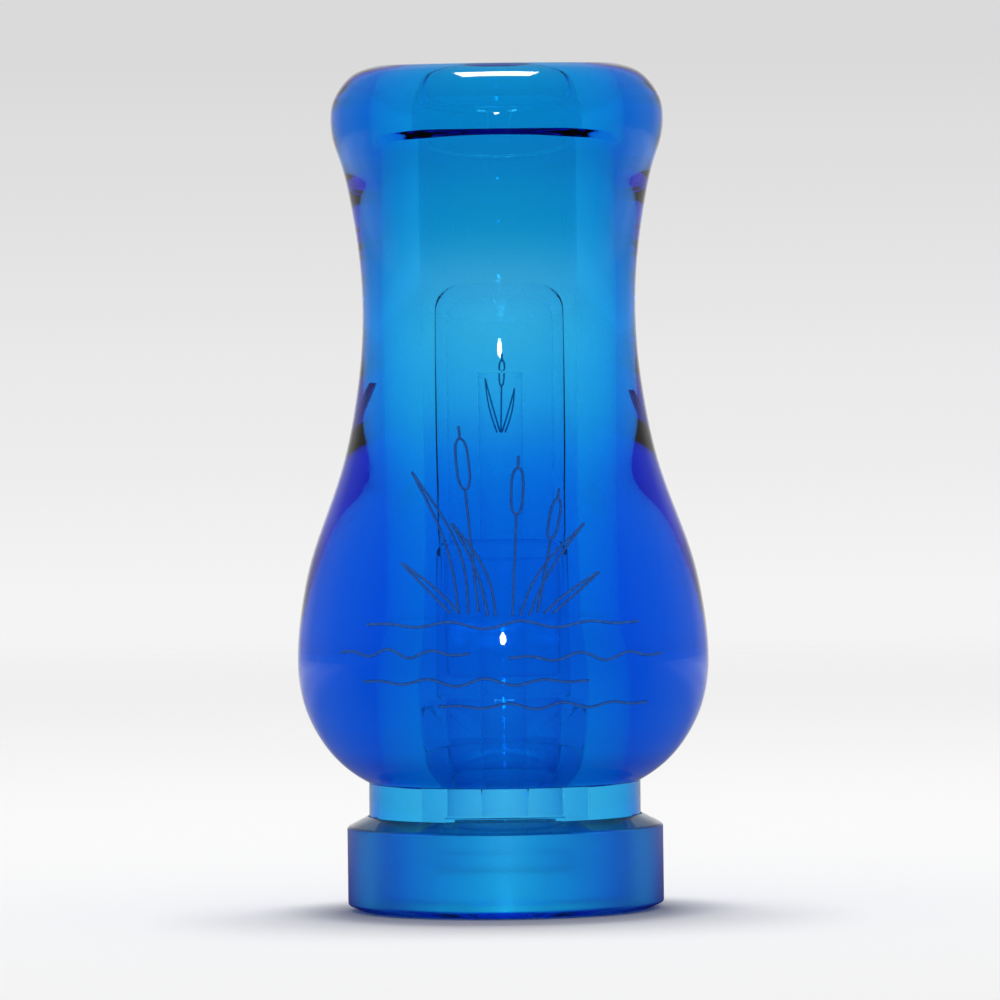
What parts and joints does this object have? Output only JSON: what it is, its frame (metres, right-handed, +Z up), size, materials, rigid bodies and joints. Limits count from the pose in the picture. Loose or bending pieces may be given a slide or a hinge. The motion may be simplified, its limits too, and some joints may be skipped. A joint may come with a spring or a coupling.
{
  "type": "duck call",
  "caption": "Hand-turned acrylic duck call: flared-lip barrel with waist, bulb, lanyard groove and satin band, over a flush double-reed insert.",
  "frame": {"origin": "centre of the insert's flat foot, which the call stands on", "axes": "+Z up the bore to the mouthpiece lip, -Y the side the reeds face, +X to the right seen from that side"},
  "size_m": [0.0382, 0.0382, 0.0784],
  "materials": {
    "blue_acrylic": "polished clear blue acrylic with fine turning marks",
    "satin_acrylic": "satin, finely abraded blue acrylic with glossy edges",
    "stopper_acrylic": "polished clear acrylic, faintly blue at the edges",
    "o_ring": "translucent silicone",
    "tone_board": "machined clear acrylic",
    "reed_film": "frosted polyester film",
    "wedge": "matt dense rubber"
  },
  "bodies": {
    "insert": {"insert_stopper": "stopper_acrylic"},
    "o_rings": {"o_ring_lower": "o_ring", "o_ring_upper": "o_ring"},
    "barrel": {"barrel": "blue_acrylic", "end_band": "satin_acrylic"},
    "tone_unit": {"tone_board": "tone_board"},
    "lower_reed": {"lower_reed": "reed_film"},
    "upper_reed": {"upper_reed": "reed_film"},
    "wedge": {"wedge_block": "wedge"}
  },
  "joints": [
    {"name": "barrel_turn", "type": "hinge", "parent": "insert", "child": "o_rings", "pos_m": [0, 0, 0.0112], "axis": [0, 0, 1], "continuous": true},
    {"name": "barrel_pull", "type": "slide", "parent": "o_rings", "child": "barrel", "axis": [0, 0, 1], "range_m": [0, 0.062]},
    {"name": "tone_unit_pull", "type": "slide", "parent": "insert", "child": "tone_unit", "axis": [0, 0, 1], "range_m": [0, 0.013]},
    {"name": "wedge_slide", "type": "slide", "parent": "tone_unit", "child": "wedge", "axis": [0, 0, 1], "range_m": [0, 0.01]},
    {"name": "lower_reed_beat", "type": "hinge", "parent": "tone_unit", "child": "lower_reed", "pos_m": [0, -0.00097, 0.0315], "axis": [1, 0, 0], "range_deg": [-1.3, 1.3], "stiffness_Nm_per_rad": 0.004},
    {"name": "upper_reed_beat", "type": "hinge", "parent": "tone_unit", "child": "upper_reed", "pos_m": [0, -0.00162, 0.0315], "axis": [1, 0, 0], "range_deg": [-1.3, 1.3], "stiffness_Nm_per_rad": 0.004}
  ],
  "couplings": [
    {"joint": "upper_reed_beat", "follows": "lower_reed_beat", "ratio": 1}
  ]
}
